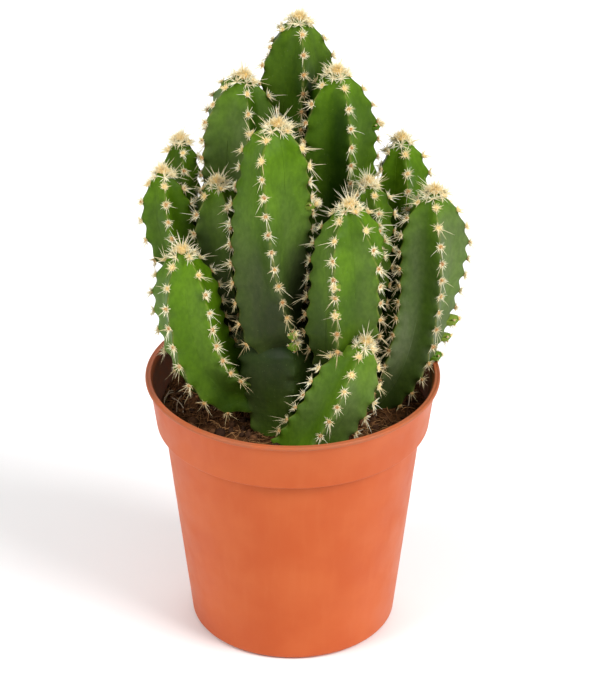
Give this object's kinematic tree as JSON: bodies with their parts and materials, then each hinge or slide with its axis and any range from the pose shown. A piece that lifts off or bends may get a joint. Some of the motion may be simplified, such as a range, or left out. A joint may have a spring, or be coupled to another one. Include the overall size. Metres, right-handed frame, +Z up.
{
  "type": "potted tall cactus",
  "caption": "Clump of tall ribbed, spiny columnar cactus stems branching from a short trunk, growing in soil in a round tapered terracotta-coloured plastic nursery pot.",
  "frame": {"origin": "middle of the pot's underside, on the surface that the pot stands on", "axes": "+Z up along the pot's axis, +X to the right seen from the front, the front faces -Y"},
  "size_m": [0.1243, 0.105, 0.2257],
  "materials": {
    "pot_plastic": "terracotta-orange moulded plastic, satin",
    "peat": "dark brown fibrous peat, rough",
    "flesh": "waxy green cactus skin, semi-matt",
    "spines": "cream to tan horny spines, slightly translucent",
    "wool": "tan felt of the spine cushions"
  },
  "bodies": {
    "root": {"pot": "pot_plastic", "soil": "peat", "trunk": "flesh", "stem_tall_back": "flesh", "stem_upper_left": "flesh", "stem_upper_right": "flesh", "stem_middle": "flesh", "stem_lower_left": "flesh", "stem_front_right": "flesh", "stem_low_right": "flesh", "stem_far_right": "flesh", "stem_left_middle": "flesh", "stem_right_rear": "flesh", "stem_right_middle": "flesh", "stem_far_left": "flesh", "stem_left_rear": "flesh"}
  },
  "joints": []
}
